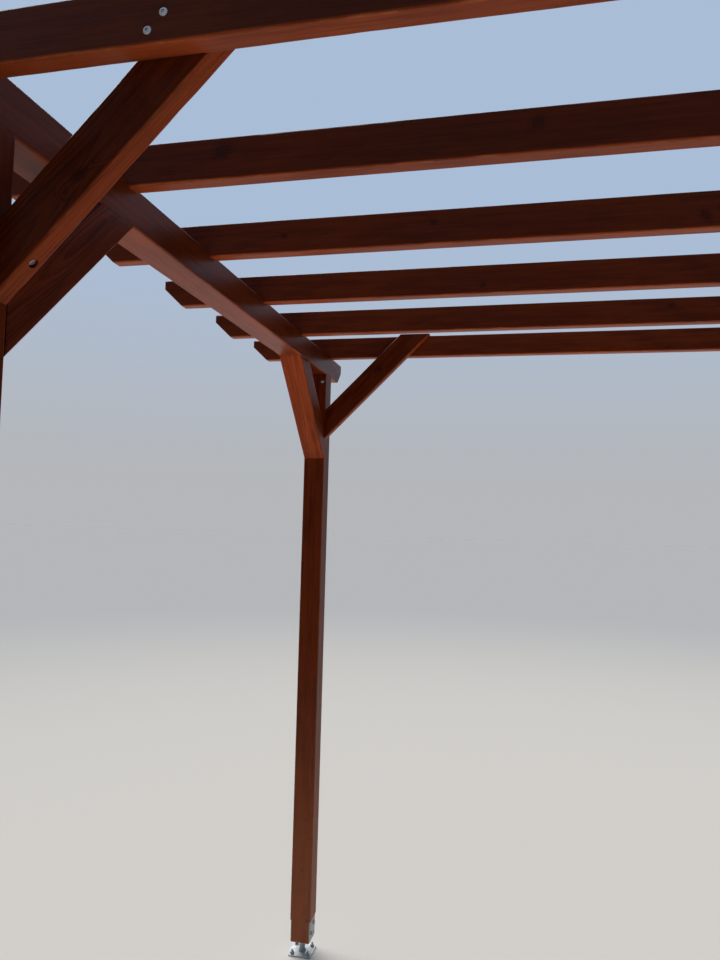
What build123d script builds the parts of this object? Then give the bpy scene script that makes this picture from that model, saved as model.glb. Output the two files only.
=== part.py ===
"""A free-standing garden pergola: four posts in steel shoes, two side beams, six rafters notched over them,
and from every post a knee brace to the beam and another to the outer rafter.

X runs along the rafters, Y along the beams and Z up.
The origin is on the ground, under the middle of the frame.
"""

import os
from math import sqrt

from build123d import *

# Spacing of the posts, centre to centre
POST_SPACING_X = 2970
POST_SPACING_Y = 2070

# Timber sections, planed; the beams and their braces are as wide as the posts and lie flush with them
POST_WIDTH = 90
POST_LENGTH = 2450
BEAM_WIDTH = POST_WIDTH
BEAM_DEPTH = 90
RAFTER_THICKNESS = 38
RAFTER_DEPTH = 90
BEAM_BRACE_WIDTH = POST_WIDTH
BEAM_BRACE_DEPTH = 90
RAFTER_BRACE_THICKNESS = 38
RAFTER_BRACE_DEPTH = 90
ARRIS_RADIUS = 4

# Beams past the posts, with the lower corner of each end cut off at a slant
BEAM_TAIL = 170
BEAM_END_RISE = 52
BEAM_END_RUN = 55

# Rafters past the beams, with the same slanted cut, and the seats notched over the beams
RAFTER_COUNT = 6
RAFTER_TAIL = 270
RAFTER_END_RISE = 60
RAFTER_END_RUN = 64
NOTCH_DEPTH = 12
NOTCH_FIT = 0.5

# Knee braces at 45 degrees: how far below its head, and out from the post, the lower edge runs
BEAM_BRACE_LEG = 375
RAFTER_BRACE_LEG = 365

# Post shoes: a base plate on the ground, a stem, and a strap let into two sides of the post
BASE_PLATE_SIDE = 100
BASE_PLATE_THICKNESS = 6
BASE_PLATE_CORNER = 8
BASE_HOLE_RADIUS = 5.5
BASE_HOLE_SPACING = 70
STEM_RADIUS = 12
STEM_HEIGHT = 50
STRAP_THICKNESS = 4
STRAP_WIDTH = 80
STRAP_HEIGHT = 85
REBATE_DEPTH = 7
REBATE_MARGIN = 3

# Heights of the joints
post_foot = BASE_PLATE_THICKNESS + STEM_HEIGHT + STRAP_THICKNESS
beam_bottom = post_foot + POST_LENGTH
beam_top = beam_bottom + BEAM_DEPTH
rafter_bottom = beam_top - NOTCH_DEPTH
rafter_top = rafter_bottom + RAFTER_DEPTH

# Places of the posts, of their inner faces, and of the rafters that lie against the rafter braces
post_x = POST_SPACING_X / 2
post_y = POST_SPACING_Y / 2
post_inner_x = post_x - POST_WIDTH / 2
post_inner_y = post_y - POST_WIDTH / 2
outer_rafter_y = post_inner_y + RAFTER_BRACE_THICKNESS + RAFTER_THICKNESS / 2

X_SIDES = {"left": -1, "right": 1}
Y_SIDES = {"front": -1, "back": 1}
CORNERS = [
    (f"{y_name}_{x_name}", x_side, y_side)
    for y_name, y_side in Y_SIDES.items()
    for x_name, x_side in X_SIDES.items()
]

os.makedirs("parts", exist_ok=True)


def save(piece, name):
    """Labels a finished piece and writes its file."""
    piece.part.label = name
    export_step(piece.part, f"parts/{name}.step")


# Posts, square with eased arrises, rebated at the foot for the strap of the shoe
for corner, x_side, y_side in CORNERS:
    centre = (x_side * post_x, y_side * post_y)
    with BuildPart() as post:
        with BuildSketch(Plane.XY.offset(post_foot)):
            with Locations(centre):
                RectangleRounded(POST_WIDTH, POST_WIDTH, ARRIS_RADIUS)
        extrude(amount=POST_LENGTH)
        with BuildSketch(Plane.XY.offset(post_foot)):
            with Locations(centre):
                with GridLocations(POST_WIDTH - REBATE_DEPTH, 0, 2, 1):
                    Rectangle(REBATE_DEPTH, POST_WIDTH)
        extrude(amount=STRAP_HEIGHT + REBATE_MARGIN, mode=Mode.SUBTRACT)
    save(post, f"post_{corner}")

# Post shoes: the strap holds the post clear of the ground, and the plate is bolted down
for corner, x_side, y_side in CORNERS:
    centre = (x_side * post_x, y_side * post_y)
    seat_width = POST_WIDTH - 2 * REBATE_DEPTH
    with BuildPart() as shoe:
        with BuildSketch(Plane.XY):
            with Locations(centre):
                RectangleRounded(BASE_PLATE_SIDE, BASE_PLATE_SIDE, BASE_PLATE_CORNER)
                with GridLocations(BASE_HOLE_SPACING, BASE_HOLE_SPACING, 2, 2):
                    Circle(BASE_HOLE_RADIUS, mode=Mode.SUBTRACT)
        extrude(amount=BASE_PLATE_THICKNESS)
        with BuildSketch(Plane.XY.offset(BASE_PLATE_THICKNESS)):
            with Locations(centre):
                Circle(STEM_RADIUS)
        extrude(amount=STEM_HEIGHT)
        with BuildSketch(Plane.XZ.offset(-y_side * post_y)) as strap:
            with Locations((x_side * post_x, post_foot - STRAP_THICKNESS)):
                Rectangle(
                    seat_width + 2 * STRAP_THICKNESS,
                    STRAP_HEIGHT + STRAP_THICKNESS,
                    align=(Align.CENTER, Align.MIN),
                )
            fillet(strap.vertices().group_by(Axis.Y)[0], STRAP_THICKNESS)
            with Locations((x_side * post_x, post_foot)):
                Rectangle(
                    seat_width,
                    STRAP_HEIGHT,
                    align=(Align.CENTER, Align.MIN),
                    mode=Mode.SUBTRACT,
                )
        extrude(amount=STRAP_WIDTH / 2, both=True)
    save(shoe, f"post_shoe_{corner}")

# Beams on the post tops, with the long arrises eased
for x_name, x_side in X_SIDES.items():
    half_length = post_y + POST_WIDTH / 2 + BEAM_TAIL
    with BuildPart() as beam:
        with BuildSketch(Plane.YZ.offset(x_side * post_x)):
            with BuildLine():
                Polyline(
                    (-half_length, beam_top),
                    (-half_length, beam_bottom + BEAM_END_RISE),
                    (-half_length + BEAM_END_RUN, beam_bottom),
                    (half_length - BEAM_END_RUN, beam_bottom),
                    (half_length, beam_bottom + BEAM_END_RISE),
                    (half_length, beam_top),
                    close=True,
                )
            make_face()
        extrude(amount=BEAM_WIDTH / 2, both=True)
        fillet(beam.edges().filter_by(Axis.Y), ARRIS_RADIUS)
    save(beam, f"beam_{x_name}")

# Rafters, evenly spaced, each notched over both beams
for index in range(RAFTER_COUNT):
    rafter_y = outer_rafter_y * (2 * index / (RAFTER_COUNT - 1) - 1)
    half_length = post_x + BEAM_WIDTH / 2 + RAFTER_TAIL
    with BuildPart() as rafter:
        with BuildSketch(Plane.XZ.offset(-rafter_y)):
            with BuildLine():
                Polyline(
                    (-half_length, rafter_top),
                    (-half_length, rafter_bottom + RAFTER_END_RISE),
                    (-half_length + RAFTER_END_RUN, rafter_bottom),
                    (half_length - RAFTER_END_RUN, rafter_bottom),
                    (half_length, rafter_bottom + RAFTER_END_RISE),
                    (half_length, rafter_top),
                    close=True,
                )
            make_face()
        extrude(amount=RAFTER_THICKNESS / 2, both=True)
        fillet(rafter.edges().filter_by(Axis.X), ARRIS_RADIUS)
        with BuildSketch(Plane.XZ.offset(-rafter_y)):
            with Locations((-post_x, beam_top), (post_x, beam_top)):
                Rectangle(
                    BEAM_WIDTH + 2 * NOTCH_FIT,
                    2 * NOTCH_DEPTH,
                    align=(Align.CENTER, Align.MAX),
                )
        extrude(amount=RAFTER_THICKNESS, both=True, mode=Mode.SUBTRACT)
    save(rafter, f"rafter_{index + 1}")

# Beam braces, from the inner face of each post up to the underside of the beam, mitred at both ends
for corner, x_side, y_side in CORNERS:
    slant_depth = BEAM_BRACE_DEPTH * sqrt(2)
    with BuildPart() as beam_brace:
        with BuildSketch(Plane.YZ.offset(x_side * post_x)):
            with BuildLine():
                Polyline(
                    (y_side * post_inner_y, beam_bottom - BEAM_BRACE_LEG),
                    (y_side * (post_inner_y - BEAM_BRACE_LEG), beam_bottom),
                    (y_side * (post_inner_y - BEAM_BRACE_LEG + slant_depth), beam_bottom),
                    (y_side * post_inner_y, beam_bottom - BEAM_BRACE_LEG + slant_depth),
                    close=True,
                )
            make_face()
        extrude(amount=BEAM_BRACE_WIDTH / 2, both=True)
        grain = Axis((0, 0, 0), (0, -y_side, 1))
        fillet(beam_brace.edges().filter_by(grain), ARRIS_RADIUS)
    save(beam_brace, f"beam_brace_{corner}")

# Rafter braces, flush with the posts' inner faces, lapped on the outer rafters and cut level with their tops
for corner, x_side, y_side in CORNERS:
    slant_depth = RAFTER_BRACE_DEPTH * sqrt(2)
    foot = rafter_bottom - RAFTER_BRACE_LEG
    head = RAFTER_BRACE_LEG + RAFTER_DEPTH
    lap_y = y_side * (post_inner_y + RAFTER_BRACE_THICKNESS / 2)
    with BuildPart() as rafter_brace:
        with BuildSketch(Plane.XZ.offset(-lap_y)):
            with BuildLine():
                Polyline(
                    (x_side * post_inner_x, foot),
                    (x_side * (post_inner_x - head), rafter_top),
                    (x_side * (post_inner_x - head + slant_depth), rafter_top),
                    (x_side * post_inner_x, foot + slant_depth),
                    close=True,
                )
            make_face()
        extrude(amount=RAFTER_BRACE_THICKNESS / 2, both=True)
        grain = Axis((0, 0, 0), (-x_side, 0, 1))
        fillet(rafter_brace.edges().filter_by(grain), ARRIS_RADIUS)
    save(rafter_brace, f"rafter_brace_{corner}")
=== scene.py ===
"""Dresses the garden pergola: galvanised post shoes, stained pine timbers, and the screws and bolts in them."""

import math
from collections import namedtuple
from contextlib import contextmanager

import bmesh
import bpy
import numpy as np
from mathutils import Matrix, Vector


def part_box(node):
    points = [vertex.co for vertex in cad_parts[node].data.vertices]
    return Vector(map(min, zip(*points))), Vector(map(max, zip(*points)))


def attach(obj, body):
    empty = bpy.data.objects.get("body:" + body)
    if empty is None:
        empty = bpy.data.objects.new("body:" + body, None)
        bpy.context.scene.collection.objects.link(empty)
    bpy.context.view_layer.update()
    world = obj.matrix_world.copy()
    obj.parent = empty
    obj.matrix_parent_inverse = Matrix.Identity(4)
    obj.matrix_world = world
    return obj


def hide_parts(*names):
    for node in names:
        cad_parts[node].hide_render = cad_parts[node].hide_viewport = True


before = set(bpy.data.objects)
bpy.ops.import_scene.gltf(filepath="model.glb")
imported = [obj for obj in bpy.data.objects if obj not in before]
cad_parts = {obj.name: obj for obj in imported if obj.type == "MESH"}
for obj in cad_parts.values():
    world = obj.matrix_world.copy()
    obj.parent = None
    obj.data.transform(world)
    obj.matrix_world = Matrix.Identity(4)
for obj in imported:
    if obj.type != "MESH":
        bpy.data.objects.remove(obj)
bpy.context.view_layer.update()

# Post shoes. Each is a square base plate, a short round stem and a bent strap, cut from plain steel and welded
# together, then dipped in molten zinc, which freezes in faint crystals and dulls to a soft grey out of doors.
CORNERS = {"front_left": (-1, -1), "front_right": (1, -1), "back_left": (-1, 1), "back_right": (1, 1)}
PLATE_THICKNESS = 0.006
STRAP_THICKNESS = 0.004
STEM_RADIUS = 0.012
WELD_RADIUS = 0.0032
WELD_RIPPLES = 26
WELD_PROFILE = (-90, -40, 0, 30, 60, 90, 140, 180, 225)
FITTING_SHARP_FROM = 24
ZINC_BRIGHT = (0.47, 0.48, 0.485, 1)
ZINC_DULL = (0.28, 0.285, 0.29, 1)
ZINC_BLOOM = (0.52, 0.51, 0.49, 1)
CRYSTALS_PER_METRE = 85
BLOOMS_PER_METRE = (30, 30, 30)
PEEL_PER_METRE = (420, 420, 420)
RELIEF_DEPTH = 0.001
FINISH = ("Color", "Roughness", "Height")


def shader_node(tree, kind, inputs, **settings):
    """Adds a node, makes its settings, sets or links its named or numbered inputs, and gives its outputs."""
    made = tree.nodes.new(f"ShaderNode{kind}")
    for name, value in settings.items():
        setattr(made, name, value)
    for name, value in inputs.items():
        if isinstance(value, bpy.types.NodeSocket):
            tree.links.new(value, made.inputs[name])
        else:
            made.inputs[name].default_value = value
    return made.outputs


def maths(tree, operation, *values):
    """One step of arithmetic on shader values."""
    return shader_node(tree, "Math", dict(enumerate(values)), operation=operation)[0]


def product(tree, first, *others):
    """Shader values multiplied together."""
    for other in others:
        first = maths(tree, "MULTIPLY", first, other)
    return first


def layered(tree, base, *layers):
    """A base value with patterns added over it, each by its share."""
    for pattern, share in layers:
        base = maths(tree, "MULTIPLY_ADD", pattern, share, base)
    return base


def vectors(tree, operation, *values):
    """One step of arithmetic on places and directions."""
    made = shader_node(tree, "VectorMath", dict(enumerate(values)), operation=operation)
    return made["Value"] if operation in ("LENGTH", "DOT_PRODUCT") else made[0]


def xyz(tree, vector):
    """The three parts of a place or direction."""
    return shader_node(tree, "SeparateXYZ", {0: vector})


def ramp(tree, value, low, high, start=0.0, end=1.0):
    """A soft step from start to end as the value goes from low to high."""
    inputs = {"Value": value, "From Min": low, "From Max": high, "To Min": start, "To Max": end}
    return shader_node(tree, "MapRange", inputs, interpolation_type="SMOOTHSTEP")["Result"]


def mixed(tree, share, first, second):
    """A colour between the first and the second."""
    return shader_node(tree, "Mix", {0: share, 6: first, 7: second}, data_type="RGBA")[2]


def cloudy(tree, place, per_metre, detail=2.0, roughness=0.5, gives=0):
    """Soft random mottling, with so many blotches a metre along each direction."""
    stretched = vectors(tree, "MULTIPLY", place, per_metre)
    inputs = {"Vector": stretched, "Scale": 1.0, "Detail": detail, "Roughness": roughness}
    return shader_node(tree, "TexNoise", inputs)[gives]


def start_group(name, inputs, outputs):
    """Starts a shader group from its inputs, each with its usual value, and the names of its outputs."""
    group = bpy.data.node_groups.new(name, "ShaderNodeTree")
    for label, usual in inputs.items():
        kind = "NodeSocketVector" if isinstance(usual, tuple) else "NodeSocketFloat"
        group.interface.new_socket(label, in_out="INPUT", socket_type=kind).default_value = usual
    for label in outputs:
        kind = "NodeSocketColor" if label == "Color" else "NodeSocketFloat"
        group.interface.new_socket(label, in_out="OUTPUT", socket_type=kind)
    return group, group.nodes.new("NodeGroupInput").outputs, group.nodes.new("NodeGroupOutput").inputs


def start_material(name):
    """A new material, with its node tree and its surface shader."""
    material = bpy.data.materials.new(name)
    material.use_nodes = True
    return material, material.node_tree, material.node_tree.nodes["Principled BSDF"]


def lay_finish(tree, shader, finish):
    """Gives a surface the colour, roughness and relief of its finish."""
    tree.links.new(finish["Color"], shader.inputs["Base Color"])
    tree.links.new(finish["Roughness"], shader.inputs["Roughness"])
    relief = shader_node(tree, "Bump", {"Height": finish["Height"], "Distance": RELIEF_DEPTH})
    tree.links.new(relief[0], shader.inputs["Normal"])


def weathered_zinc_group():
    """Zinc crystals, the pale bloom that rain leaves, and the fine orange-peel of a dipped coat."""
    inputs = {"Place": (0, 0, 0), "Crystals": CRYSTALS_PER_METRE}
    group, given, result = start_group("weathered_zinc", inputs, FINISH)
    crystal = shader_node(group, "TexVoronoi", {"Vector": given["Place"], "Scale": given["Crystals"]})
    tone = shader_node(group, "SeparateColor", {0: crystal["Color"]})[0]
    bloom = ramp(group, cloudy(group, given["Place"], BLOOMS_PER_METRE, 4.0, 0.6), 0.5, 0.72)
    peel = cloudy(group, given["Place"], PEEL_PER_METRE, 3.0)
    metal = mixed(group, layered(group, 0.35, (tone, 0.3)), ZINC_BRIGHT, ZINC_DULL)
    group.links.new(mixed(group, product(group, bloom, 0.6), metal, ZINC_BLOOM), result["Color"])
    group.links.new(layered(group, 0.5, (tone, 0.12), (bloom, 0.22)), result["Roughness"])
    group.links.new(layered(group, 0.0, (tone, 0.02), (peel, 0.08)), result["Height"])
    return group


def galvanised_steel():
    """The coat on the shoes and on all the bolts and screws."""
    material, tree, shader = start_material("galvanised_steel")
    shader.inputs["Metallic"].default_value = 1.0
    place = shader_node(tree, "TexCoord", {})["Object"]
    lay_finish(tree, shader, shader_node(tree, "Group", {"Place": place}, node_tree=weathered_zinc_group()))
    return material


def band(low, high, count):
    """The faces between two rings of points, each ring given by its number."""
    return [
        (low * count + k, low * count + (k + 1) % count, high * count + (k + 1) % count, high * count + k)
        for k in range(count)
    ]


def spin(rings, segments=36, hollow=False):
    """Turns rings, each a radius and a height at every angle, into the points and faces of a turned fitting."""
    angles = np.arange(segments) * 2 * math.pi / segments
    points, faces = [], []
    for number, (radius, height) in enumerate(rings):
        radius = radius(angles) if callable(radius) else radius
        height = height(angles) if callable(height) else np.full(segments, height)
        points.append(np.column_stack((radius * np.cos(angles), radius * np.sin(angles), height)))
        if number > 0:
            faces += band(number - 1, number, segments)
    if hollow:
        faces += band(len(rings) - 1, 0, segments)
    else:
        faces.append(tuple(reversed(range(segments))))
        faces.append(tuple(range((len(rings) - 1) * segments, len(rings) * segments)))
    return np.vstack(points), faces


def moved(points, place):
    """Points taken from a piece's own directions to the frame's."""
    matrix = np.array(place)
    return points @ matrix[:3, :3].T + matrix[:3, 3]


def pointing(place, direction, turn=0.0):
    """A fitting's place, with its axis along the direction and turned about it."""
    towards = Vector(direction).to_track_quat("Z", "Y").to_matrix().to_4x4()
    return Matrix.Translation(place) @ towards @ Matrix.Rotation(turn, 4, "Z")


def extent(node):
    """The lowest corner, the highest corner and the middle of a plain node."""
    low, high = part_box(node)
    return low, high, (low + high) / 2


def add_object(name, data):
    """Puts a mesh, a lamp or a camera into the scene."""
    made = bpy.data.objects.new(name, data)
    bpy.context.scene.collection.objects.link(made)
    return made


def fasten(name, fittings):
    """Joins steel fittings, each with the places where it sits, into one piece that rides on the frame."""
    points, faces, count = [], [], 0
    for (shape, its_faces), places in fittings:
        for place in places:
            points.append(moved(shape, place))
            faces.extend(tuple(k + count for k in face) for face in its_faces)
            count += len(shape)
    mesh = bpy.data.meshes.new(name)
    mesh.from_pydata(np.vstack(points).tolist(), [], faces)
    mesh.shade_smooth()
    mesh.set_sharp_from_angle(angle=math.radians(FITTING_SHARP_FROM))
    mesh.materials.append(steel)
    made = add_object(name, mesh)
    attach(made, "root")


def weld_bead():
    """A fillet weld run round the stem, with the ripples that the puddle leaves as it freezes."""
    def swell(angles):
        return 0.6 * WELD_RADIUS * (1 + 0.10 * np.cos(WELD_RIPPLES * angles) + 0.06 * np.cos(5 * angles))

    def ring(turn):
        return (lambda angles: STEM_RADIUS + swell(angles) * (1 + math.cos(turn)),
                lambda angles: swell(angles) * (1 + math.sin(turn)))

    return spin([ring(math.radians(turn)) for turn in WELD_PROFILE], segments=3 * WELD_RIPPLES, hollow=True)


steel = galvanised_steel()
bead = weld_bead()
for corner in CORNERS:
    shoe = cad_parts[f"post_shoe_{corner}"]
    shoe.data.materials.clear()
    shoe.data.materials.append(steel)
    low, high, middle = extent(f"post_shoe_{corner}")
    post_low = extent(f"post_{corner}")[0]
    fasten(f"shoe_welds_{corner}", [(bead, [
        pointing((middle.x, middle.y, low.z + PLATE_THICKNESS), (0, 0, 1)),
        pointing((middle.x, middle.y, post_low.z - STRAP_THICKNESS), (0, 0, -1)),
    ])])

# Ground anchors. Four threaded studs hold each base plate down, with a washer and a hexagon nut on each,
# zinc plated like the shoe; a little thread stands out above the nut.
HOLE_SPACING = 0.07
WASHER_RADIUS = 0.0095
WASHER_BORE = 0.0053
WASHER_THICKNESS = 0.0016
NUT_HALF_FLATS = 0.0075
NUT_HEIGHT = 0.0072
NUT_TURNS = (0.3, 2.0, 3.7, 5.4)
CHAMFER_SLOPE = math.tan(math.radians(30))
CHAMFER_FROM = 1.03
EDGE_BREAK = 0.0001
STUD_RADIUS = 0.0043
STUD_TOP = 0.0235
THREAD_PITCH = 0.0015
THREAD_DEPTH = 0.0007


def washer(radius, bore, thickness):
    """A flat washer with its upper rim turned off."""
    rim = [(radius, 0), (radius, thickness * 0.75), (radius - 3 * EDGE_BREAK, thickness)]
    return spin([(bore, 0), *rim, (bore, thickness)], segments=32, hollow=True)


def hexagon_bar(half_flats, low, high, bore=0.0):
    """A nut or bolt head: a hexagon whose corners are turned off in a cone at both faces."""
    turned = half_flats * CHAMFER_FROM

    def flats(angles):
        return half_flats / np.cos(angles % (math.pi / 3) - math.pi / 6)

    def face(angles):
        return np.minimum(flats(angles), turned) - EDGE_BREAK

    def cone(angles):
        return EDGE_BREAK * 0.8 + CHAMFER_SLOPE * np.maximum(flats(angles) - turned, 0)

    rings = [(face, low), (flats, lambda a: low + cone(a)), (flats, lambda a: high - cone(a)), (face, high)]
    if bore:
        rings = [(bore, low), *rings, (bore, high)]
    return spin(rings, segments=36, hollow=bore > 0)


def threaded_stud(radius, low, high):
    """A stud's end: thread crests and roots up to a small turned-off point."""
    root = radius - THREAD_DEPTH
    rings = [(root, low)]
    for turn in range(int((high - low - radius * 0.25) / THREAD_PITCH)):
        crest = low + (turn + 0.35) * THREAD_PITCH
        rings += [(radius, crest), (radius, crest + 0.15 * THREAD_PITCH), (root, crest + 0.5 * THREAD_PITCH)]
    rings.append((root, high))
    return spin(rings, segments=20)


anchor_washer = washer(WASHER_RADIUS, WASHER_BORE, WASHER_THICKNESS)
nut = hexagon_bar(NUT_HALF_FLATS, 0, NUT_HEIGHT, STUD_RADIUS + EDGE_BREAK)
stud = threaded_stud(STUD_RADIUS, 0, STUD_TOP)
for corner in CORNERS:
    low, high, middle = extent(f"post_shoe_{corner}")
    plate_top = low.z + PLATE_THICKNESS
    half = HOLE_SPACING / 2
    spots = [(middle.x + x * half, middle.y + y * half) for x in (-1, 1) for y in (-1, 1)]
    fasten(f"ground_anchors_{corner}", [
        (anchor_washer, [Matrix.Translation((x, y, plate_top)) for x, y in spots]),
        (nut, [pointing((x, y, plate_top + WASHER_THICKNESS), (0, 0, 1), turn)
               for (x, y), turn in zip(spots, NUT_TURNS)]),
        (stud, [Matrix.Translation((x, y, low.z)) for x, y in spots]),
    ])

# Strap screws. Two zinc-plated coach screws with hexagon heads go through each side of the strap into the post,
# one above the other and out of line, so that they don't split it.
COACH_HEAD_HALF_FLATS = 0.0065
COACH_HEAD_HEIGHT = 0.0053
COACH_WASHER_RADIUS = 0.0085
COACH_WASHER_BORE = 0.0045
COACH_WASHER_THICKNESS = 0.0014
STRAP_OUTER_FACE = 0.042
STRAP_SCREW_SPOTS = ((-0.016, 0.090), (0.016, 0.120))

coach_washer = washer(COACH_WASHER_RADIUS, COACH_WASHER_BORE, COACH_WASHER_THICKNESS)
coach_head_top = COACH_WASHER_THICKNESS + COACH_HEAD_HEIGHT
coach_head = hexagon_bar(COACH_HEAD_HALF_FLATS, COACH_WASHER_THICKNESS, coach_head_top)
for corner in CORNERS:
    low, high, middle = extent(f"post_{corner}")
    seats = [
        pointing((middle.x + side * STRAP_OUTER_FACE, middle.y + side * y, z), (side, 0, 0), 0.4 + 9 * z + side)
        for side in (-1, 1)
        for y, z in STRAP_SCREW_SPOTS
    ]
    fasten(f"strap_screws_{corner}", [(coach_washer, seats), (coach_head, seats)])

# Posts. Square pine, planed on four sides with eased arrises, cut square, and rebated at the foot so that the
# strap of the shoe lies in. All the timber has two coats of a mahogany glaze that lets the grain show through.
# On the posts and braces it has lost more of its gloss than on the beams and rafters.
GLAZE_LIGHT = (0.27, 0.052, 0.014, 1)
GLAZE_DARK = (0.105, 0.0155, 0.005, 1)
GLAZE_WORN_AND_PAINTED_BOUNCE = (0.47, 0.145, 0.054, 1)
GLAZE_WORN_DARK_AND_PAINTED_BOUNCE = (0.23, 0.062, 0.024, 1)
GLAZE_ON_END_GRAIN = (0.055, 0.014, 0.008, 1)
KNOT_CORE = (0.070, 0.013, 0.005, 1)
KNOT_RIM = (0.022, 0.005, 0.003, 1)
DUST_AND_PAINTED_BOUNCE = (0.30, 0.24, 0.20, 1)
DULLED_GLAZE = 1.13
FIBRES_PER_METRE = (8, 560, 560)
STREAKS_PER_METRE = (1.6, 70, 70)
MOTTLES_PER_METRE = (5, 34, 34)
BLOTCHES_PER_METRE = (2.3, 9, 9)
RUBS_PER_METRE = (14, 60, 60)
SAW_MARKS_PER_METRE = (60, 620, 180)
RING_SWELLS_PER_METRE = (3.5, 24, 24)
RING_SWELL = 0.006
LOG_BENDS_PER_METRE = (1.4, 0, 0)
LOG_BEND = (0, 0.035, 0.035)
KNOT_EDGES_PER_METRE = (120, 120, 120)
KNOT_RINGS = 21
BRANCH_LEAN = 0.65
GRAIN_STRETCH = 0.78
GRAIN_FADE = -0.36
GRAIN_SWERVE = 0.85
PAST_BOTH_ENDS = 9
ARRIS_RADIUS = 0.004
ARRIS_STEPS = (18, 36, 54, 72)
ARRIS_RUBS = ((0.0002, 0.11), (0.0001, 0.03))
DENTS_PER_ARRIS = 3
DENT_DEPTH = 0.0009
DENT_REACH = (0.010, 0.022)
END_ROUNDING = 0.0007
TIMBER_SHARP_FROM = 28
STATION_GAP = 0.012
POINT_GAP = 0.011
CLEAR_OF_ARRIS = 0.0015
CLEAR_OF_CHECK = 0.005
CHECK_POINT_GAP = 0.0005
CHECK_DRIFTS = ((0.0022, 0.16), (0.0005, 0.04))
CHECK_GAPE_SPACING = 0.07
CLOSED_CHECK_SPREAD = 0.0015
SLIVER = 1e-5
OUTSIDE = 0.01
POST_REBATE_DEPTH = 0.007
POST_REBATE_HEIGHT = 0.088
POST_RING_GAP = 0.0042
POST_SEED = 11
POST_SHADES = (0.97, 1.03, 1.08, 0.98)
POST_PITHS = ((0.008, -0.011), (-0.013, 0.006), (0.012, 0.010), (-0.006, -0.014))
POST_KNOTS = (
    ((0.62, -0.045, 0.012, 0.009), (1.45, 0.020, 0.045, 0.008), (1.93, -0.014, 0.045, 0.010)),
    ((0.41, 0.045, -0.014, 0.008), (1.18, 0.045, 0.018, 0.010), (1.71, 0.010, -0.045, 0.007)),
    ((0.093, 0.031, -0.045, 0.0035), (0.300, 0.002, -0.045, 0.003), (0.439, 0.034, -0.045, 0.0025),
     (0.515, 0.009, -0.045, 0.002), (1.52, -0.045, -0.012, 0.009)),
    ((0.77, 0.045, 0.010, 0.009), (1.34, 0.018, 0.045, 0.006), (2.05, -0.045, -0.016, 0.010)),
)
# A drying check: the side it opens on, how far off that side's middle, from where to where it runs along the
# timber, how wide it gapes and how deep it goes.
DryingCheck = namedtuple("DryingCheck", "side offset start end gap depth")
POST_CHECKS = (
    DryingCheck(side=0, offset=0.006, start=0.35, end=1.30, gap=0.0012, depth=0.010),
    DryingCheck(side=2, offset=-0.009, start=1.1, end=2.2, gap=0.0014, depth=0.012),
)


def knot_group():
    """One branch through the log: a dark ringed core in a stained halo, and the grain flowing round it."""
    group, given, result = start_group(
        "knot",
        {"Place": (0, 0, 0), "Centre": (0, 0, 0), "Branch": (0, 0, 1), "Radius": 0.01,
         "Core so far": 0.0, "Halo so far": 0.0, "Pull so far": 0.0},
        ("Core", "Halo", "Pull"),
    )
    away = vectors(group, "SUBTRACT", given["Place"], given["Centre"])
    distance = vectors(group, "LENGTH", vectors(group, "CROSS_PRODUCT", away, given["Branch"]))
    ragged = layered(group, 0.40, (cloudy(group, given["Place"], KNOT_EDGES_PER_METRE, 3.0, 0.7), 1.2))
    size = maths(group, "DIVIDE", distance, product(group, given["Radius"], ragged))
    on_this_side = ramp(group, vectors(group, "DOT_PRODUCT", away, given["Branch"]), -0.03, -0.015)
    rings = layered(group, 0.90, (maths(group, "COSINE", product(group, size, KNOT_RINGS)), 0.10))
    core = product(group, ramp(group, size, 1.25, 0.65), rings, on_this_side)
    halo = product(group, ramp(group, size, 2.7, 1.0), on_this_side)

    along = xyz(group, away)[0]
    stretched = product(group, along, along, GRAIN_STRETCH)
    flow = maths(group, "SUBTRACT", product(group, distance, distance), stretched)
    reach = product(group, given["Radius"], given["Radius"])
    bend = maths(group, "EXPONENT", product(group, maths(group, "DIVIDE", flow, reach), GRAIN_FADE))
    bend = product(group, bend, given["Radius"], on_this_side)
    group.links.new(maths(group, "MAXIMUM", given["Core so far"], core), result["Core"])
    group.links.new(maths(group, "MAXIMUM", given["Halo so far"], halo), result["Halo"])
    group.links.new(layered(group, given["Pull so far"], (bend, GRAIN_SWERVE)), result["Pull"])
    return group


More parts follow.
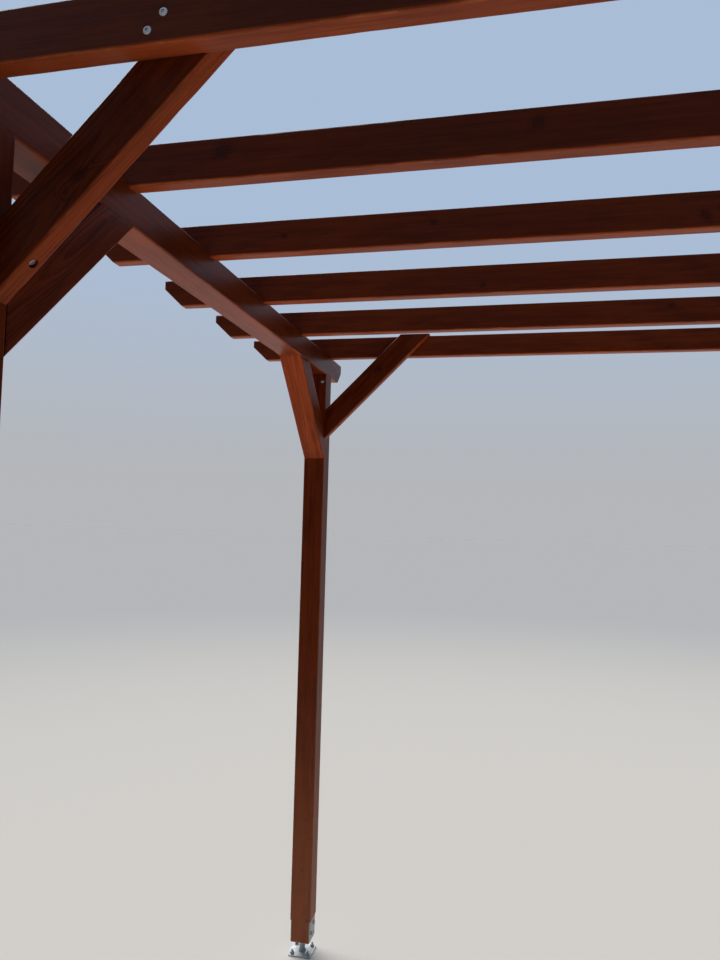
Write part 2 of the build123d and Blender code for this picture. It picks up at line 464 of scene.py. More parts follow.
def stained_pine_group():
    """Pine from the log outwards: rings, fibres and knots, then glaze, end grain, worn arrises and dust, and a
    paler foot that is partly rain splash and partly painted light from the floor.
    """
    group, given, result = start_group(
        "stained_pine",
        {"Place": (0, 0, 0), "Facing": (0, 0, 1), "Pith": (0, 0, 0), "Half section": (1, 0.045, 0.045),
         "Ring gap": 0.004, "Shade": 1.0, "Knot": 0.0, "Knot halo": 0.0, "Knot pull": 0.0, "Above ground": 2.0},
        FINISH,
    )
    place = given["Place"]
    fibre = cloudy(group, place, FIBRES_PER_METRE, 4.0, 0.7)
    streak = cloudy(group, place, STREAKS_PER_METRE, 3.0, 0.6)
    mottle = cloudy(group, place, MOTTLES_PER_METRE, 3.0, 0.6)
    blotch = cloudy(group, place, BLOTCHES_PER_METRE)
    sawn = cloudy(group, place, SAW_MARKS_PER_METRE, 3.0, 0.7)

    # Growth rings about a pith that wanders, each with a dark late wood of its own year's strength.
    from_pith = vectors(group, "SUBTRACT", place, given["Pith"])
    crook = cloudy(group, from_pith, LOG_BENDS_PER_METRE, 1.0, gives="Color")
    crook = vectors(group, "MULTIPLY", vectors(group, "SUBTRACT", crook, (0.5, 0.5, 0.5)), LOG_BEND)
    across = vectors(group, "ADD", vectors(group, "MULTIPLY", from_pith, (0, 1, 1)), crook)
    uneven = maths(group, "SUBTRACT", cloudy(group, place, RING_SWELLS_PER_METRE, 3.0), 0.5)
    radius = layered(group, vectors(group, "LENGTH", across), (uneven, RING_SWELL), (given["Knot pull"], 1.0))
    year = maths(group, "DIVIDE", radius, given["Ring gap"])
    season = maths(group, "FRACT", year)
    weather = shader_node(group, "TexWhiteNoise", {"W": maths(group, "FLOOR", year)}, noise_dimensions="1D")
    late_wood = product(group, ramp(group, season, 0.3, 0.86), ramp(group, season, 1.0, 0.92),
                        layered(group, 0.4, (weather["Value"], 0.6)))

    # End grain, arrises rubbed bare in patches, and a paler lowest metre and a half of timber: partly the foot
    # that rain splashes, partly painted light standing in for the glow that a bright floor throws up.
    end_grain = ramp(group, maths(group, "ABSOLUTE", xyz(group, given["Facing"])[0]), 0.42, 0.62)
    inside = xyz(group, vectors(group, "SUBTRACT", vectors(group, "ABSOLUTE", place), given["Half section"]))
    arris = ramp(group, maths(group, "MINIMUM", inside[1], inside[2]), -0.0055, -0.001)
    rubbed = ramp(group, cloudy(group, place, RUBS_PER_METRE, 4.0, 0.7), 0.42, 0.68)
    worn = product(group, arris, rubbed, maths(group, "SUBTRACT", 1.0, end_grain))
    splash_and_painted_bounce = ramp(group, given["Above ground"], 1.5, 0.0)
    splash_and_painted_bounce = product(group, splash_and_painted_bounce, ramp(group, streak, 0.25, 0.7, 0.55, 1.0))
    faded_and_painted_bounce = maths(group, "MAXIMUM", product(group, worn, 0.55), product(group, splash_and_painted_bounce, 0.62))

    # The glaze lies darker where the wood takes up more of it.
    depth = layered(group, 0.0, (ramp(group, fibre, 0.34, 0.70), 0.42), (late_wood, 0.50),
                    (ramp(group, streak, 0.35, 0.75), 0.30), (ramp(group, mottle, 0.42, 0.66), 0.30),
                    (given["Knot halo"], 0.30))
    colour = mixed(group, depth, GLAZE_LIGHT, GLAZE_DARK)
    colour = mixed(group, product(group, end_grain, 0.8), colour, GLAZE_ON_END_GRAIN)
    tone = product(group, ramp(group, blotch, 0.25, 0.75, 0.84, 1.14), given["Shade"])
    colour = shader_node(group, "VectorMath", {0: colour, "Scale": tone}, operation="SCALE")[0]
    colour = mixed(group, faded_and_painted_bounce, colour, mixed(group, depth, GLAZE_WORN_AND_PAINTED_BOUNCE, GLAZE_WORN_DARK_AND_PAINTED_BOUNCE))
    rim = product(group, ramp(group, given["Knot"], 0.03, 0.3), ramp(group, given["Knot"], 0.8, 0.45))
    colour = mixed(group, product(group, given["Knot"], 0.66), colour, KNOT_CORE)
    colour = mixed(group, product(group, rim, 0.5), colour, KNOT_RIM)
    upwards = xyz(group, shader_node(group, "NewGeometry", {})["Normal"])[2]
    dust_and_painted_bounce = product(group, ramp(group, upwards, 0.35, 0.9), ramp(group, blotch, 0.3, 0.7, 0.10, 0.34))
    # The paler foot also takes on some dust colour, partly splashed dirt and partly painted floor bounce.
    dust_and_painted_bounce = maths(group, "MAXIMUM", dust_and_painted_bounce, product(group, splash_and_painted_bounce, 0.20))

    rough = layered(group, 0.20, (fibre, 0.16), (blotch, 0.08), (end_grain, 0.24), (worn, 0.15), (dust_and_painted_bounce, 0.6))
    height = layered(group, 0.0, (fibre, 0.16), (late_wood, 0.10), (product(group, sawn, end_grain), 0.5),
                     (given["Knot"], 0.25))
    group.links.new(mixed(group, dust_and_painted_bounce, colour, DUST_AND_PAINTED_BOUNCE), result["Color"])
    group.links.new(rough, result["Roughness"])
    group.links.new(height, result["Height"])
    return group


knot = knot_group()
stained_pine = stained_pine_group()


def stained_timber(name, place, width, depth, pith, ring_gap, shade, knots, gloss):
    """The glaze on one timber, with the rings about its own pith and its own knots.

    place takes the timber's own directions to the frame's: x along the grain, y over its width and z over its
    depth. A knot is where it shows, in the timber's own directions, and its radius. gloss is a refractive index.
    """
    material, tree, shader = start_material(name)
    shader.inputs["IOR"].default_value = gloss
    turn = place.inverted()
    surface = shader_node(tree, "TexCoord", {})
    spot = shader_node(tree, "Mapping", {"Vector": surface["Object"], "Location": turn.to_translation(),
                                         "Rotation": turn.to_euler()})[0]
    facing = shader_node(tree, "Mapping", {"Vector": surface["Normal"], "Rotation": turn.to_euler()},
                         vector_type="VECTOR")[0]
    branches = {"Core": 0.0, "Halo": 0.0, "Pull": 0.0}
    for *centre, radius in knots:
        outward = Vector((0, centre[1] - pith[0], centre[2] - pith[1])).normalized()
        branches = shader_node(tree, "Group", {
            "Place": spot, "Centre": centre, "Branch": (outward + Vector((BRANCH_LEAN, 0, 0))).normalized(),
            "Radius": radius, "Core so far": branches["Core"], "Halo so far": branches["Halo"],
            "Pull so far": branches["Pull"],
        }, node_tree=knot)
    lay_finish(tree, shader, shader_node(tree, "Group", {
        "Place": spot, "Facing": facing, "Half section": (PAST_BOTH_ENDS, width / 2, depth / 2),
        "Pith": (0, *pith), "Ring gap": ring_gap, "Shade": shade,
        "Knot": branches["Core"], "Knot halo": branches["Halo"], "Knot pull": branches["Pull"],
        "Above ground": xyz(tree, surface["Object"])[2],
    }, node_tree=stained_pine))
    return material


def wander(chance, stations, spacing):
    """A smooth random curve between -1 and 1 along a timber, with a new turn about every spacing."""
    first, last = stations[0] - spacing, stations[-1] + 2 * spacing
    turns = chance.uniform(-1, 1, int((last - first) / spacing) + 3)
    where = (stations - first) / spacing
    before = where.astype(int)
    share = where - before
    share = share * share * (3 - 2 * share)
    return turns[before] * (1 - share) + turns[before + 1] * share


def section_points(width, depth, checks):
    """The points round a timber's section, and for each which way is out, its arris and its drying check."""
    points = []
    for side, out in enumerate(np.array(((1, 0), (0, 1), (-1, 0), (0, -1)), float)):
        along = np.array((-out[1], out[0]))
        reach, run = (width / 2, depth / 2) if side % 2 == 0 else (depth / 2, width / 2)
        flat = run - ARRIS_RADIUS
        steps = np.linspace(-flat + CLEAR_OF_ARRIS, flat - CLEAR_OF_ARRIS, max(2, round(2 * flat / POINT_GAP)))
        here = [(number, check) for number, check in enumerate(checks) if check.side == side]
        places = [(-flat, -1, 0), (flat, -1, 0)]
        places += [(step, -1, 0) for step in steps
                   if all(abs(step - check.offset) > CLEAR_OF_CHECK for _, check in here)]
        places += [(check.offset + lip * CHECK_POINT_GAP, number, lip)
                   for number, check in here for lip in (-1, 0, 1)]
        for step, number, lip in sorted(places):
            points.append((out * reach + along * step, out, along, -1, (number, lip)))
        for turn in np.radians(ARRIS_STEPS):
            slanting = out * math.cos(turn) + along * math.sin(turn)
            spot = out * (reach - ARRIS_RADIUS) + along * flat + slanting * ARRIS_RADIUS
            points.append((spot, slanting, along, side, (-1, 0)))
    return [np.array(column) for column in zip(*points)]


def skin(width, depth, length, checks, chance):
    """The points of a planed timber with rubbed, dented arrises and open checks, and how many lie round it."""
    stations = np.arange(-depth, length + depth, STATION_GAP)
    spots, outs, alongs, arrises, lips = section_points(width, depth, checks)
    inset = np.zeros((len(stations), len(spots)))
    shift = np.zeros((len(stations), len(spots)))
    for corner in range(4):
        rubbed = sum(deep * (1 + wander(chance, stations, spacing)) for deep, spacing in ARRIS_RUBS)
        for dent in chance.uniform(0, length, DENTS_PER_ARRIS):
            deep = DENT_DEPTH * chance.uniform(0.3, 1)
            rubbed += deep * np.exp(-(((stations - dent) / chance.uniform(*DENT_REACH)) ** 2))
        inset[:, arrises == corner] = rubbed[:, None]
    for number, check in enumerate(checks):
        middle, half = (check.start + check.end) / 2, (check.end - check.start) / 2
        opening = np.clip(1 - np.abs(stations - middle) / half, 0, 1) ** 0.6
        opening *= np.clip(0.75 + 0.45 * wander(chance, stations, CHECK_GAPE_SPACING), 0, 1)
        drift = sum(far * wander(chance, stations, spacing) for far, spacing in CHECK_DRIFTS)
        gap = CLOSED_CHECK_SPREAD * (1 - np.clip(opening * 4, 0, 1)) + check.gap / 2 * opening
        for lip in (-1, 0, 1):
            shift[:, (lips == (number, lip)).all(1)] = (drift + lip * gap)[:, None]
        inset[:, (lips == (number, 0)).all(1)] = (check.depth * opening)[:, None]
    section = spots[None] - outs[None] * inset[..., None] + alongs[None] * shift[..., None]
    along = np.repeat(stations[:, None, None], len(spots), 1)
    return np.concatenate((along, section), 2).reshape(-1, 3), len(spots)


@contextmanager
def reshaping(mesh):
    """Opens a mesh for changes to its points and faces."""
    shape = bmesh.new()
    shape.from_mesh(mesh)
    yield shape
    shape.to_mesh(mesh)
    shape.free()


def saw(shape, where, outward):
    """Saws the timber at a plane and closes the cut."""
    everything = shape.verts[:] + shape.edges[:] + shape.faces[:]
    cut = bmesh.ops.bisect_plane(shape, geom=everything, dist=1e-6, plane_co=where, plane_no=outward,
                                 clear_outer=True)
    rim = [part for part in cut["geom_cut"] if isinstance(part, bmesh.types.BMEdge) and part.is_boundary]
    for face in bmesh.ops.edgeloop_fill(shape, edges=rim)["faces"]:
        face.material_index = 1


def hollow_out(piece, points, faces):
    """Cuts a closed shape out of a timber."""
    cutting = bpy.data.meshes.new("cutting")
    cutting.from_pydata(points, [], faces)
    with reshaping(cutting) as shape:
        bmesh.ops.recalc_face_normals(shape, faces=shape.faces)
    tool = add_object("cutting", cutting)
    cutter = piece.modifiers.new("hollow", "BOOLEAN")
    cutter.operation = "DIFFERENCE"
    cutter.solver = "MANIFOLD"
    cutter.object = tool
    hollowed = bpy.data.meshes.new_from_object(piece.evaluated_get(bpy.context.evaluated_depsgraph_get()))
    piece.modifiers.clear()
    whole = piece.data
    piece.data = hollowed
    bpy.data.objects.remove(tool)
    bpy.data.meshes.remove(cutting)
    bpy.data.meshes.remove(whole)


def timber(node, place, width, depth, length, cuts, material, seed, checks=(), hollows=()):
    """Makes one planed timber in place of its plain node.

    cuts are planes to saw at, and hollows are shapes to cut out, each as points and faces.
    """
    points, around = skin(width, depth, length, checks, np.random.default_rng(seed))
    faces = [face for row in range(len(points) // around - 1) for face in band(row, row + 1, around)]
    name = node.replace("_", "_timber_", 1)
    mesh = bpy.data.meshes.new(name)
    mesh.from_pydata(moved(points, place).tolist(), [], faces)
    with reshaping(mesh) as shape:
        bmesh.ops.recalc_face_normals(shape, faces=shape.faces)
        for where, outward in cuts:
            saw(shape, where, outward)
        rims = [edge for edge in shape.edges if any(face.material_index == 1 for face in edge.link_faces)]
        bmesh.ops.bevel(shape, geom=rims, offset=END_ROUNDING, segments=2, profile=0.5, affect="EDGES",
                        clamp_overlap=True)
        bmesh.ops.dissolve_degenerate(shape, dist=SLIVER, edges=shape.edges)
        for face in shape.faces:
            face.material_index = 0
    mesh.materials.append(material)
    made = add_object(name, mesh)
    for hollow in hollows:
        hollow_out(made, *hollow)
    if hollows:
        with reshaping(made.data) as shape:
            bmesh.ops.remove_doubles(shape, verts=shape.verts, dist=SLIVER)
            bmesh.ops.triangulate(shape, faces=[face for face in shape.faces if len(face.verts) > 4])
            bmesh.ops.dissolve_degenerate(shape, dist=SLIVER, edges=shape.edges)
    made.data.name = name
    made.data.shade_smooth()
    made.data.set_sharp_from_angle(angle=math.radians(TIMBER_SHARP_FROM))
    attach(made, "root")
    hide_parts(node)
    return made


def block(low, high):
    """A plain block from its lowest to its highest corner, as points and faces."""
    points = [(x, y, z) for x in (low[0], high[0]) for y in (low[1], high[1]) for z in (low[2], high[2])]
    return points, [(0, 1, 3, 2), (4, 6, 7, 5), (0, 4, 5, 1), (2, 3, 7, 6), (0, 2, 6, 4), (1, 5, 7, 3)]


def directions(along, width_way, start):
    """A timber's own directions in the frame: x along the grain, y over its width, and z over its depth."""
    x, y = Vector(along).normalized(), Vector(width_way).normalized()
    turned = Matrix((x, y, x.cross(y))).transposed().to_4x4()
    return Matrix.Translation(start) @ turned


for number, corner in enumerate(CORNERS):
    low, high, middle = extent(f"post_{corner}")
    width = high.x - low.x
    place = directions((0, 0, 1), (1, 0, 0), (middle.x, middle.y, low.z))
    pine = stained_timber(f"post_pine_{corner}", place, width, width, POST_PITHS[number], POST_RING_GAP,
                          POST_SHADES[number], POST_KNOTS[number], DULLED_GLAZE)
    cuts = [(low, (0, 0, -1)), (high, (0, 0, 1))]
    rebates = [
        block((edge - POST_REBATE_DEPTH, low.y - OUTSIDE, low.z - OUTSIDE),
              (edge + POST_REBATE_DEPTH, high.y + OUTSIDE, low.z + POST_REBATE_HEIGHT))
        for edge in (low.x, high.x)
    ]
    post = timber(f"post_{corner}", place, width, width, high.z - low.z, cuts, pine, POST_SEED + number,
                  POST_CHECKS, rebates)

# Screws at the post heads. Washer-head timber screws, zinc plated, are driven from the faces of each post up into
# the beam, a few fingers' breadth below it; their wide heads stand on the wood.
SCREW_HEAD_RADIUS = 0.0068
SCREW_HEAD_HEIGHT = 0.0026
SCREW_RECESS_RADIUS = 0.0028
SCREW_RECESS_DEPTH = 0.0019
SCREW_LOBE_DEPTH = 0.13
POST_SCREW_BELOW_BEAM = 0.034
POST_SCREW_OFF_CENTRE = 0.029


def washer_head_screw():
    """A timber screw's head: a low dome with a six-lobed recess for the driver."""
    def lobes(angles):
        return SCREW_RECESS_RADIUS * (1 + SCREW_LOBE_DEPTH * np.cos(6 * angles))

    top, bottom = SCREW_HEAD_HEIGHT, SCREW_HEAD_HEIGHT - SCREW_RECESS_DEPTH
    return spin([
        (SCREW_HEAD_RADIUS * 0.98, -0.0002), (SCREW_HEAD_RADIUS, 0.0004), (SCREW_HEAD_RADIUS * 0.97, 0.0009),
        (SCREW_HEAD_RADIUS * 0.80, top * 0.68), (SCREW_HEAD_RADIUS * 0.62, top * 0.93), (lobes, top),
        (lambda a: lobes(a) * 0.96, top - 0.0002), (lambda a: lobes(a) * 0.90, bottom),
        (0.0004, bottom - 0.05 * SCREW_RECESS_DEPTH),
    ])


screw = washer_head_screw()
for corner in CORNERS:
    low, high, middle = extent(f"post_{corner}")
    height = high.z - POST_SCREW_BELOW_BEAM
    fasten(f"post_screws_{corner}", [(screw, [
        pointing((middle.x + POST_SCREW_OFF_CENTRE, low.y, height), (0, -1, 0), turn=0.4),
        pointing((middle.x - POST_SCREW_OFF_CENTRE, high.y, height), (0, 1, 0), turn=1.1),
    ])])

# Beams. One square timber along each side lies on the post heads, flush with their faces, and runs on past them;
# its lower corners are sawn off at a slant.
FRESH_GLAZE = 1.19
BEAM_END_RISE = 0.052
BEAM_END_RUN = 0.055
BEAM_RING_GAP = 0.0046
BEAM_SEED = 31
BEAM_SHADES = (0.84, 0.90)
BEAM_PITHS = ((0.016, -0.020), (-0.012, 0.030))
BEAM_KNOTS = ((0.52, -0.045, 0.010, 0.011), (1.28, 0.045, 0.014, 0.008), (1.95, 0.045, -0.014, 0.012))


def sawn_ends(low, high, along, rise, run):
    """The cuts at both ends of a beam or rafter, square above and slanting off the lower corner."""
    along, down = Vector(along), Vector((0, 0, -1))
    slants = [(way * rise * along + run * down).normalized() for way in (-1, 1)]
    far = low + along * ((high - low).dot(along) - run)
    return [(low, -along), (high, along), (low + along * run, slants[0]), (far, slants[1])]


for number, side in enumerate(("left", "right")):
    low, high, middle = extent(f"beam_{side}")
    width, depth, length = high.x - low.x, high.z - low.z, high.y - low.y
    place = directions((0, 1, 0), (-1, 0, 0), (middle.x, low.y, middle.z))
    pine = stained_timber(f"beam_pine_{side}", place, width, depth, BEAM_PITHS[number], BEAM_RING_GAP,
                          BEAM_SHADES[number], BEAM_KNOTS, FRESH_GLAZE)
    outer = 2 * number
    checks = (
        DryingCheck(side=outer, offset=0.004, start=0.15, end=0.95, gap=0.0011, depth=0.010),
        DryingCheck(side=outer, offset=-0.019, start=1.2, end=2.3, gap=0.0012, depth=0.012),
    )
    cuts = sawn_ends(low, high, (0, 1, 0), BEAM_END_RISE, BEAM_END_RUN)
    beam = timber(f"beam_{side}", place, width, depth, length, cuts, pine, BEAM_SEED + number, checks)

# Rafters. Six planks on edge, each notched over both beams and held down at each crossing by one long screw
# in a counterbored hole; their ends are sawn like those of the beams.
RAFTER_END_RISE = 0.060
RAFTER_END_RUN = 0.064
RAFTER_RING_GAP = 0.0040
RAFTER_SEED = 61
RAFTER_CHECK_SEED = 51
RAFTER_CHECK_GAP = 0.0008
RAFTER_CHECK_DEPTH = 0.006
NOTCH_FIT = 0.0005
COUNTERBORE_RADIUS = 0.0085
COUNTERBORE_DEPTH = 0.012
DRILL_LEAD = 0.004
RAFTER_SHADES = (0.88, 0.82, 0.95, 0.97, 1.0, 1.14)
RAFTER_PITHS = (
    (0.036, 0.016), (0.042, -0.012), (0.034, 0.024), (0.036, -0.030), (0.038, 0.004), (-0.034, 0.012),
)
RAFTER_KNOTS = (
    ((1.46, -0.018, 0.008), (2.37, 0.015, 0.010), (3.02, -0.006, 0.006)),
    ((0.579, 0.015, 0.011), (1.223, 0.012, 0.0085), (2.08, -0.024, 0.007), (2.71, 0.010, 0.011)),
    ((0.573, 0.000, 0.0045), (0.976, 0.012, 0.005), (1.62, -0.015, 0.008), (2.49, 0.020, 0.009)),
    ((1.08, -0.020, 0.006), (2.22, 0.008, 0.010), (3.21, -0.014, 0.007)),
    ((1.71, 0.018, 0.007), (2.86, -0.010, 0.009)),
    ((0.68, -0.012, 0.006), (1.53, 0.022, 0.009), (2.66, 0.004, 0.008)),
)


def drilled_hole(place, depth):
    """A counterbored hole that starts a little outside the wood, as points and faces."""
    points, faces = spin([(COUNTERBORE_RADIUS, -DRILL_LEAD), (COUNTERBORE_RADIUS, depth)], segments=28)
    return moved(points, place).tolist(), faces


def knots_shown(pith, width, spots):
    """Knots on the face of a plank that lies away from its pith."""
    face = -math.copysign(width / 2, pith[0])
    return [(at, face, height, radius) for at, height, radius in spots]


beams = [extent("beam_left"), extent("beam_right")]
for number in range(6):
    low, high, middle = extent(f"rafter_{number + 1}")
    width, depth, length = high.y - low.y, high.z - low.z, high.x - low.x
    place = directions((1, 0, 0), (0, 1, 0), (low.x, middle.y, middle.z))
    pith = RAFTER_PITHS[number]
    pine = stained_timber(f"rafter_pine_{number + 1}", place, width, depth, pith, RAFTER_RING_GAP,
                          RAFTER_SHADES[number], knots_shown(pith, width, RAFTER_KNOTS[number]), FRESH_GLAZE)
    chance = np.random.default_rng(RAFTER_CHECK_SEED + number)
    check = DryingCheck(side=0, offset=chance.uniform(-0.02, 0.02), start=0.2 + chance.uniform(0, 1.5),
                        end=2.2 + chance.uniform(0, 1.2), gap=RAFTER_CHECK_GAP, depth=RAFTER_CHECK_DEPTH)
    notches = [
        block((beam_low.x - NOTCH_FIT, low.y - OUTSIDE, low.z - OUTSIDE),
              (beam_high.x + NOTCH_FIT, high.y + OUTSIDE, beam_high.z))
        for beam_low, beam_high, _ in beams
    ]
    crossings = [Vector((beam_middle.x, middle.y, high.z)) for _, _, beam_middle in beams]
    holes = [drilled_hole(pointing(spot, (0, 0, -1)), COUNTERBORE_DEPTH) for spot in crossings]
    cuts = sawn_ends(low, high, (1, 0, 0), RAFTER_END_RISE, RAFTER_END_RUN)
    rafter = timber(f"rafter_{number + 1}", place, width, depth, length, cuts, pine, RAFTER_SEED + number,
                    [check], notches + holes)
    sunk = Vector((0, 0, -COUNTERBORE_DEPTH))
    heads = [pointing(spot + sunk, (0, 0, 1), number + spot.x) for spot in crossings]
    fasten(f"rafter_screws_{number + 1}", [(screw, heads)])

# Beam braces. A short length of the same square timber is mitred between each post and its beam, at half a right
# angle, and held at both mitres by slanting screws through its outer side.
BRACE_RING_GAP = 0.0044
BRACE_SCREW_FROM_END = 0.034
BRACE_SCREWS_APART = 0.040
BEAM_BRACE_SEED = 81
# The back-left brace is painted about a third lighter than the rest, standing in for the sunlight that a bright
# floor throws up onto it.
BEAM_BRACE_TONES_AND_PAINTED_LIGHT = (0.94, 0.97, 1.30, 1.04)
BEAM_BRACE_PITHS = ((0.010, -0.014), (-0.012, 0.016), (0.016, 0.008), (-0.008, -0.018))
BEAM_BRACE_KNOTS = ((0.17, 0.012, 0.008), (0.22, -0.012, 0.0092), (0.27, 0.012, 0.0104), (0.32, -0.012, 0.0116))

for number, (corner, (side, way)) in enumerate(CORNERS.items()):
    low, high, middle = extent(f"beam_brace_{corner}")
    depth = high.x - low.x
    foot_y, head_y = (high.y, low.y) if way > 0 else (low.y, high.y)
    tip = Vector((middle.x, foot_y, low.z))
    along, across = Vector((0, -way, 1)).normalized(), Vector((0, way, 1)).normalized()
    place = directions(along, (1, 0, 0), tip + across * depth / 2)
    pith = BEAM_BRACE_PITHS[number]
    pine = stained_timber(f"beam_brace_pine_{corner}", place, depth, depth, pith, BRACE_RING_GAP,
                          BEAM_BRACE_TONES_AND_PAINTED_LIGHT[number], knots_shown(pith, depth, [BEAM_BRACE_KNOTS[number]]),
                          DULLED_GLAZE)
    cuts = [(tip, (0, way, 0)), (high, (0, 0, 1))]
    brace = timber(f"beam_brace_{corner}", place, depth, depth, (high.z - low.z) * math.sqrt(2), cuts, pine,
                   BEAM_BRACE_SEED + number)
    outer_x = middle.x + side * depth / 2
    foot = Vector((outer_x, foot_y, low.z)) + across * depth / 2 + along * (depth / 2 + BRACE_SCREW_FROM_END)
    head = Vector((outer_x, head_y + way * depth / math.sqrt(2), high.z)) - along * BRACE_SCREW_FROM_END
    apart = across * BRACE_SCREWS_APART / 2
    heads = [
        pointing(spot + apart * s, (side, 0, 0), 0.7 * s + spot.z)
        for spot in (foot, head)
        for s in (-1, 1)
    ]
    fasten(f"beam_brace_screws_{corner}", [(screw, heads)])

# Rafter braces. A plank on edge from each post, flush with its inner face, laps the outer rafter from inside.
# Two screws through the rafter hold the lap, and one sunk in the brace's lower edge goes on into the post.
LAP_SCREWS_APART = 0.036
LAP_SCREW_FROM_EDGE = 0.016
FOOT_SCREW_FROM_TIP = 0.086
FOOT_POCKET_DEPTH = 0.006
RAFTER_BRACE_DEPTH = 0.090
RAFTER_BRACE_SEED = 91
RAFTER_BRACE_SHADES = (0.90, 1.03, 0.86, 1.05)
RAFTER_BRACE_PITHS = ((0.034, -0.010), (-0.036, 0.014), (0.030, 0.018), (0.038, -0.006))
RAFTER_BRACE_KNOTS = ((0.24, -0.016, 0.007), (0.31, -0.006, 0.007), (0.38, 0.004, 0.007), (0.45, 0.014, 0.007))

for number, (corner, (side, way)) in enumerate(CORNERS.items()):
    low, high, middle = extent(f"rafter_brace_{corner}")
    rafter_low, rafter_high, rafter_middle = extent("rafter_1" if way < 0 else "rafter_6")
    width, depth = high.y - low.y, RAFTER_BRACE_DEPTH
    tip = Vector((low.x if side < 0 else high.x, middle.y, low.z))
    along, across = Vector((-side, 0, 1)).normalized(), Vector((side, 0, 1)).normalized()
    place = directions(along, (0, 1, 0), tip + across * depth / 2)
    pith = RAFTER_BRACE_PITHS[number]
    pine = stained_timber(f"rafter_brace_pine_{corner}", place, width, depth, pith, BRACE_RING_GAP,
                          RAFTER_BRACE_SHADES[number], knots_shown(pith, width, [RAFTER_BRACE_KNOTS[number]]),
                          DULLED_GLAZE)
    cuts = [(tip, (side, 0, 0)), (high, (0, 0, 1))]
    entry = tip + along * FOOT_SCREW_FROM_TIP
    pocket = drilled_hole(pointing(entry, across), FOOT_POCKET_DEPTH)
    brace = timber(f"rafter_brace_{corner}", place, width, depth, (high.z - low.z) * math.sqrt(2), cuts, pine,
                   RAFTER_BRACE_SEED + number, (), [pocket])
    upper_corner = tip + Vector((0, 0, depth * math.sqrt(2)))
    lap = upper_corner + along * (rafter_middle.z - upper_corner.z) * math.sqrt(2)
    lap -= across * LAP_SCREW_FROM_EDGE
    lap.y = rafter_low.y if way < 0 else rafter_high.y
    apart = along * LAP_SCREWS_APART / 2
    heads = [pointing(lap + apart * s, (0, way, 0), s + number) for s in (-1, 1)]
    heads.append(pointing(entry + across * FOOT_POCKET_DEPTH, -across, turn=0.5))
    fasten(f"rafter_brace_screws_{corner}", [(screw, heads)])

# Floor and light. The plain pale floor throws most light back close to the posts, and fades with distance. One
# wide soft lamp hangs above and behind the frame, and one lies low and shines up as a bright floor does, so that
# undersides glow and the shaded faces stay deep.
FLOOR_HALF_SIDE = 60
FLOOR_PALE = (0.57, 0.56, 0.54, 1)
FLOOR_FAR = (0.36, 0.365, 0.37, 1)
FLOOR_GLOW = (0.16, 0.16, 0.16, 1)
FLOOR_GLOW_FAR = (0.158, 0.171, 0.190, 1)
FADE_REACH = (3.5, 13.0)
BOUNCE_NEAR = (0.95, 0.90, 0.82, 1)
BOUNCE = (0.26, 0.25, 0.235, 1)
BOUNCE_FAR = (0.08, 0.077, 0.072, 1)
NEAR_REACH = (0.7, 1.5)
FAR_REACH = (1.6, 3.4)
POST_FROM_MIDDLE = (1.485, 1.035, 0)
BLACK = (0, 0, 0, 1)
BACKDROP_LOW = (0.46, 0.47, 0.485, 1)
BACKDROP_HIGH = (0.40, 0.51, 0.68, 1)
BACKDROP_RISE = (0.0, 0.42)
AMBIENT = (0.032, 0.034, 0.038, 1)
OVERHEAD_STRENGTH = 3.4
OVERHEAD_COLOUR = (1.0, 0.98, 0.95)
OVERHEAD_FROM = (-0.65, 0.62, 1.0)
OVERHEAD_SPREAD = 56
UPWARD_POWER = 80
UPWARD_COLOUR = (1.0, 0.97, 0.93)
UPWARD_SIZE = (8.0, 7.0)
UPWARD_HEIGHT = 0.01
UPWARD_SPREAD = 44


def seen(tree):
    """A mask that is 1 for what the camera sees straight, in gloss or through glass."""
    path = shader_node(tree, "LightPath", {})
    straight = maths(tree, "MAXIMUM", path["Is Camera Ray"], path["Is Glossy Ray"])
    return maths(tree, "MAXIMUM", straight, path["Is Transmission Ray"])


def add_lamp(name, kind, power, colour):
    """Adds a lamp, and gives its settings and its object."""
    settings = bpy.data.lights.new(name, kind)
    settings.energy = power
    settings.color = colour
    return settings, add_object(name, settings)


floor_paint, paint, surface = start_material("studio_floor")
surface.inputs["Roughness"].default_value = 0.9
surface.inputs["Specular IOR Level"].default_value = 0.0
surface.inputs["Emission Strength"].default_value = 1.0
spot = shader_node(paint, "TexCoord", {})["Object"]
from_middle = vectors(paint, "LENGTH", spot)
from_post = vectors(paint, "SUBTRACT", vectors(paint, "ABSOLUTE", spot), POST_FROM_MIDDLE)
from_post = vectors(paint, "LENGTH", from_post)
bounce = mixed(paint, ramp(paint, from_middle, *FAR_REACH), BOUNCE, BOUNCE_FAR)
bounce = mixed(paint, ramp(paint, from_post, *NEAR_REACH), BOUNCE_NEAR, bounce)
far = ramp(paint, from_middle, *FADE_REACH)
shows = seen(paint)
pale = mixed(paint, shows, bounce, mixed(paint, far, FLOOR_PALE, FLOOR_FAR))
glow = mixed(paint, shows, BLACK, mixed(paint, far, FLOOR_GLOW, FLOOR_GLOW_FAR))
paint.links.new(pale, surface.inputs["Base Color"])
paint.links.new(glow, surface.inputs["Emission Color"])
floor_mesh = bpy.data.meshes.new("studio_floor")
reach = FLOOR_HALF_SIDE
floor_mesh.from_pydata([(-reach, -reach, 0), (reach, -reach, 0), (reach, reach, 0), (-reach, reach, 0)],
                       [], [(0, 1, 2, 3)])
floor_mesh.materials.append(floor_paint)
floor = add_object("studio_floor", floor_mesh)

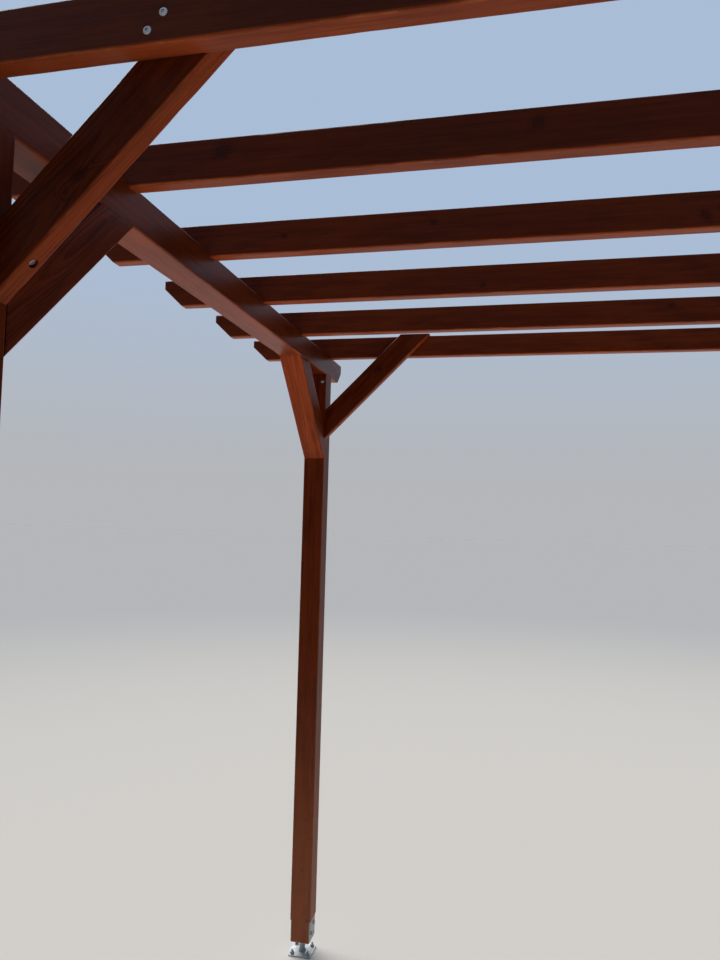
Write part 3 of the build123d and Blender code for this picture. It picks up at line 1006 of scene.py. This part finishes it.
backdrop = bpy.data.worlds.new("backdrop")
backdrop.use_nodes = True
sky = backdrop.node_tree
rise = xyz(sky, shader_node(sky, "TexCoord", {})["Generated"])[2]
sky_colour = mixed(sky, ramp(sky, rise, *BACKDROP_RISE), BACKDROP_LOW, BACKDROP_HIGH)
sky.links.new(mixed(sky, seen(sky), AMBIENT, sky_colour), sky.nodes["Background"].inputs["Color"])
bpy.context.scene.world = backdrop

overhead, overhead_lamp = add_lamp("overhead_lamp", "SUN", OVERHEAD_STRENGTH, OVERHEAD_COLOUR)
overhead.angle = math.radians(OVERHEAD_SPREAD)
overhead_lamp.matrix_world = Vector(OVERHEAD_FROM).to_track_quat("Z", "Y").to_matrix().to_4x4()

upward, upward_lamp = add_lamp("upward_lamp", "AREA", UPWARD_POWER, UPWARD_COLOUR)
upward.shape = "RECTANGLE"
upward.size, upward.size_y = UPWARD_SIZE
upward.spread = math.radians(UPWARD_SPREAD)
upward_lamp.matrix_world = Matrix.Translation((0, 0, UPWARD_HEIGHT)) @ Matrix.Rotation(math.pi, 4, "X")
upward_lamp.visible_camera = False
upward_lamp.visible_glossy = False

bpy.context.scene.view_settings.view_transform = "Standard"

# The camera stands at eye height a step in front of the frame, left of its middle, and looks a little to the
# left and up along the left beam.
CAMERA_PLACE = (-0.6047, -1.9914, 1.8893)
CAMERA_YAW = -0.2207
CAMERA_PITCH = 0.0500
CAMERA_ROLL = 0.0266
FOCAL_LENGTH_PIXELS = 703.9165
PICTURE_HEIGHT_PIXELS = 960
SENSOR_WIDTH = 36.0

forward = Vector((math.sin(CAMERA_YAW) * math.cos(CAMERA_PITCH), math.cos(CAMERA_YAW) * math.cos(CAMERA_PITCH),
                  math.sin(CAMERA_PITCH)))
level_right = Vector((math.cos(CAMERA_YAW), -math.sin(CAMERA_YAW), 0))
level_up = level_right.cross(forward)
right = math.cos(CAMERA_ROLL) * level_right + math.sin(CAMERA_ROLL) * level_up
upright = math.cos(CAMERA_ROLL) * level_up - math.sin(CAMERA_ROLL) * level_right
camera_data = bpy.data.cameras.new("camera")
camera_data.sensor_width = SENSOR_WIDTH
camera_data.lens = FOCAL_LENGTH_PIXELS / PICTURE_HEIGHT_PIXELS * SENSOR_WIDTH
camera = add_object("camera", camera_data)
camera.matrix_world = Matrix.Translation(CAMERA_PLACE) @ Matrix((right, upright, -forward)).transposed().to_4x4()
bpy.context.scene.camera = camera
